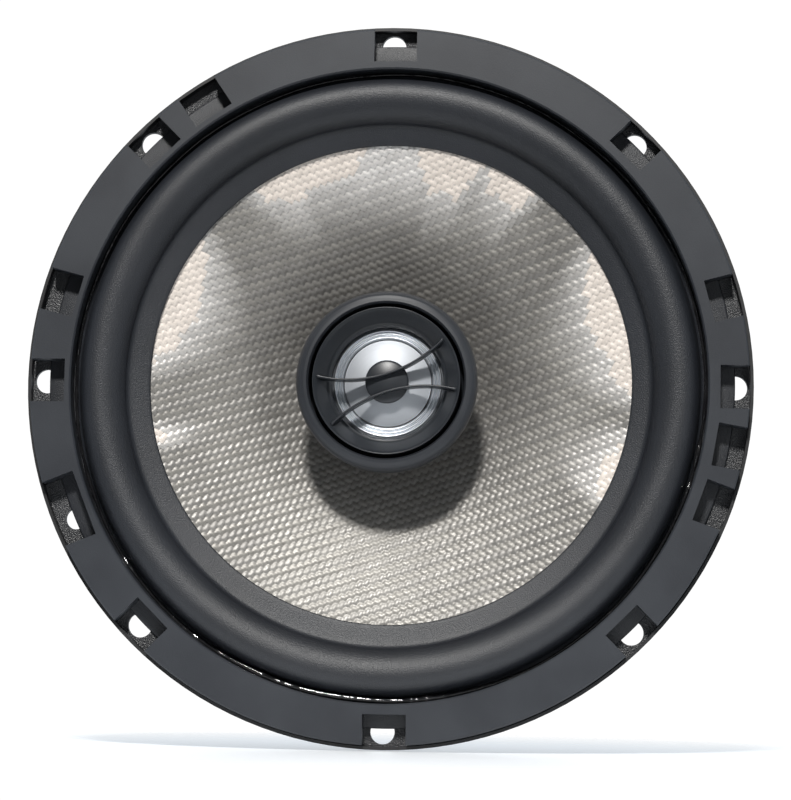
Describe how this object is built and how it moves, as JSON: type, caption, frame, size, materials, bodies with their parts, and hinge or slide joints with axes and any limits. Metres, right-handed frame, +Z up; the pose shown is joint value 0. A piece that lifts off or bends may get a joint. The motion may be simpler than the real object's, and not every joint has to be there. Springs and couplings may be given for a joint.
{
  "type": "coaxial car speaker",
  "caption": "Round coaxial car loudspeaker with a woven cone in a rubber roll surround and a dome tweeter on a central post.",
  "frame": {"origin": "middle of the mounting plane, which is the back face of the basket's flange, at the centre of the screw circle", "axes": "+Y along the speaker's axis towards the magnet, so the front faces -Y; +Z up, with a screw hole at the top; +X to the right as the front is seen"},
  "size_m": [0.165, 0.0689, 0.165],
  "materials": {
    "basket_paint": "semi-gloss black paint with a fine orange-peel grain",
    "ring_plastic": "matte moulded black plastic",
    "adhesive": "glossy black adhesive",
    "surround_rubber": "matte black butyl rubber",
    "cone_weave": "woven glass fibre in clear resin, satin",
    "former_film": "amber film",
    "copper": "enamelled copper wire",
    "spider_cloth": "resin-stiffened cotton cloth",
    "zinc_steel": "zinc-plated steel",
    "ferrite": "sintered ferrite, dull dark grey",
    "boot_rubber": "matte black rubber",
    "screw_steel": "bright plated steel",
    "post_plastic": "glass-filled nylon",
    "tweeter_plastic": "satin black moulded plastic",
    "bezel_plastic": "satin black moulded plastic",
    "dome_metal": "bright silver film",
    "magnet_metal": "nickel-plated",
    "felt": "grey felt",
    "board_laminate": "brown laminate board",
    "terminal_brass": "tinned brass",
    "tinsel_braid": "braided copper lead",
    "capacitor_sleeve": "shrink sleeve",
    "strap_plastic": "nylon strap",
    "wire_red": "red insulation",
    "wire_black": "black insulation"
  },
  "bodies": {
    "chassis": {"basket": "basket_paint", "trim_ring": "ring_plastic", "ring_glue": "adhesive", "surround": "surround_rubber", "spider": "spider_cloth", "top_plate": "zinc_steel", "magnet": "ferrite", "yoke": "zinc_steel", "magnet_boot": "boot_rubber", "motor_screws": "screw_steel", "tweeter_post": "post_plastic", "post_washer": "screw_steel", "post_nut": "screw_steel", "tweeter_housing": "tweeter_plastic", "tweeter_frame": "post_plastic", "tweeter_bezel": "bezel_plastic", "tweeter_suspension": "dome_metal", "tweeter_pad": "felt", "tweeter_pole_plate": "zinc_steel", "tweeter_magnet": "magnet_metal", "tweeter_cup": "zinc_steel", "terminal_board": "board_laminate", "board_rivets": "screw_steel", "positive_terminal": "terminal_brass", "negative_terminal": "terminal_brass", "positive_tinsel": "tinsel_braid", "negative_tinsel": "tinsel_braid", "crossover_capacitor": "capacitor_sleeve", "capacitor_strap": "strap_plastic", "tweeter_wire_positive": "wire_red", "tweeter_wire_negative": "wire_black"},
    "cone_assembly": {"cone": "cone_weave", "coil_former": "former_film", "coil_winding": "copper"},
    "tweeter_diaphragm": {"tweeter_dome": "dome_metal", "tweeter_coil": "copper"}
  },
  "joints": [
    {"name": "cone_excursion", "type": "slide", "parent": "chassis", "child": "cone_assembly", "axis": [0, -1, 0], "range_m": [-0.004, 0.004], "stiffness_N_per_m": 1500, "deforming": ["surround", "spider", "positive_tinsel", "negative_tinsel"]},
    {"name": "tweeter_excursion", "type": "slide", "parent": "chassis", "child": "tweeter_diaphragm", "axis": [0, -1, 0], "range_m": [-0.00025, 0.00025], "stiffness_N_per_m": 500, "deforming": ["tweeter_suspension"]}
  ]
}
